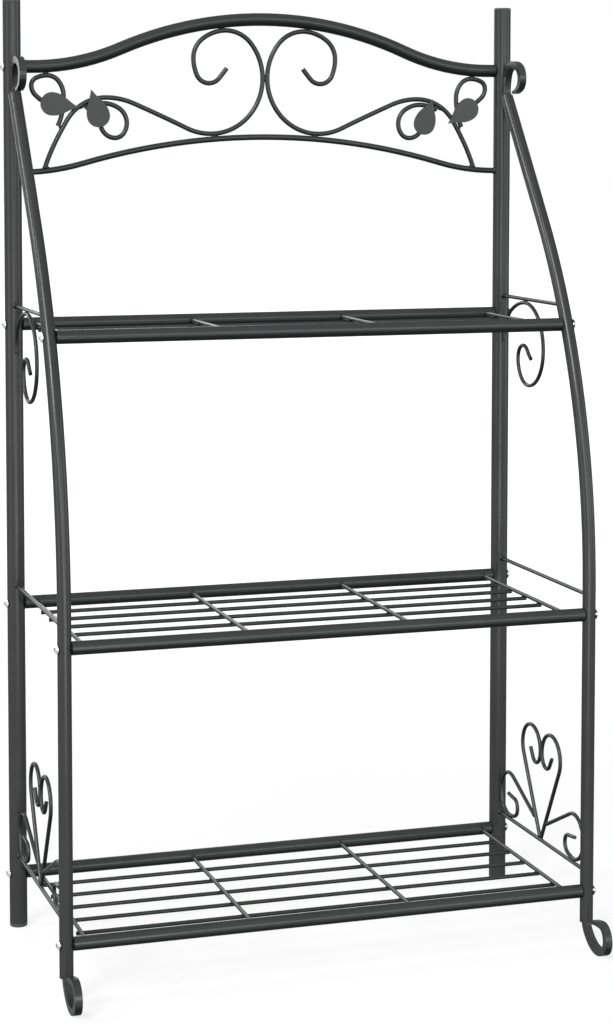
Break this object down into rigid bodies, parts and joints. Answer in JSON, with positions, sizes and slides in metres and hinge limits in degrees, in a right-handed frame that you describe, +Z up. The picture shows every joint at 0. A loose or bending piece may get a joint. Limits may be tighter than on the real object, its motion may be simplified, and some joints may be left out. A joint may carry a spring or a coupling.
{
  "type": "plant stand",
  "caption": "Free-standing tiered plant rack of coated steel tube with wire grid shelves, front legs that curve back to the posts, scroll feet and an arched scrollwork top panel.",
  "frame": {"origin": "on the floor, at the middle of the stand's footprint (bottom centre of its box)", "axes": "+X across to the right as seen from the front, +Y to the back, +Z up"},
  "size_m": [0.5854, 0.3104, 0.998],
  "materials": {
    "powder_coat": "semi-gloss",
    "bolt_steel": "polished",
    "plug_plastic": "matte",
    "insert_steel": "coated over"
  },
  "bodies": {
    "root": {"arch_bolts": "bolt_steel", "arch_rod": "powder_coat", "arch_tube": "powder_coat", "arch_tube_inserts": "insert_steel", "left_foot_scroll": "powder_coat", "left_front_curl": "powder_coat", "left_front_heart_half": "powder_coat", "left_front_leg": "powder_coat", "left_hanging_scroll": "powder_coat", "left_inner_leaf": "powder_coat", "left_inner_tendril": "powder_coat", "left_lower_side_rod": "powder_coat", "left_middle_side_rod": "powder_coat", "left_outer_leaf": "powder_coat", "left_outer_tendril": "powder_coat", "left_post_cap": "plug_plastic", "left_post_foot": "plug_plastic", "left_rear_curl": "powder_coat", "left_rear_heart_half": "powder_coat", "left_rear_post": "powder_coat", "left_shelf_bolts": "bolt_steel", "left_top_scroll": "powder_coat", "left_upper_side_rod": "powder_coat", "left_volute": "powder_coat", "lower_cross_wires": "powder_coat", "lower_front_tube": "powder_coat", "lower_long_wires": "powder_coat", "lower_rear_tube": "powder_coat", "middle_cross_wires": "powder_coat", "middle_front_tube": "powder_coat", "middle_long_wires": "powder_coat", "middle_rear_tube": "powder_coat", "right_foot_scroll": "powder_coat", "right_front_curl": "powder_coat", "right_front_heart_half": "powder_coat", "right_front_leg": "powder_coat", "right_hanging_scroll": "powder_coat", "right_inner_leaf": "powder_coat", "right_inner_tendril": "powder_coat", "right_lower_side_rod": "powder_coat", "right_middle_side_rod": "powder_coat", "right_outer_leaf": "powder_coat", "right_outer_tendril": "powder_coat", "right_post_cap": "plug_plastic", "right_post_foot": "plug_plastic", "right_rear_curl": "powder_coat", "right_rear_heart_half": "powder_coat", "right_rear_post": "powder_coat", "right_shelf_bolts": "bolt_steel", "right_top_scroll": "powder_coat", "right_upper_side_rod": "powder_coat", "right_volute": "powder_coat", "shelf_tube_inserts": "insert_steel", "upper_cross_wires": "powder_coat", "upper_front_tube": "powder_coat", "upper_long_wires": "powder_coat", "upper_rear_tube": "powder_coat"}
  },
  "joints": []
}
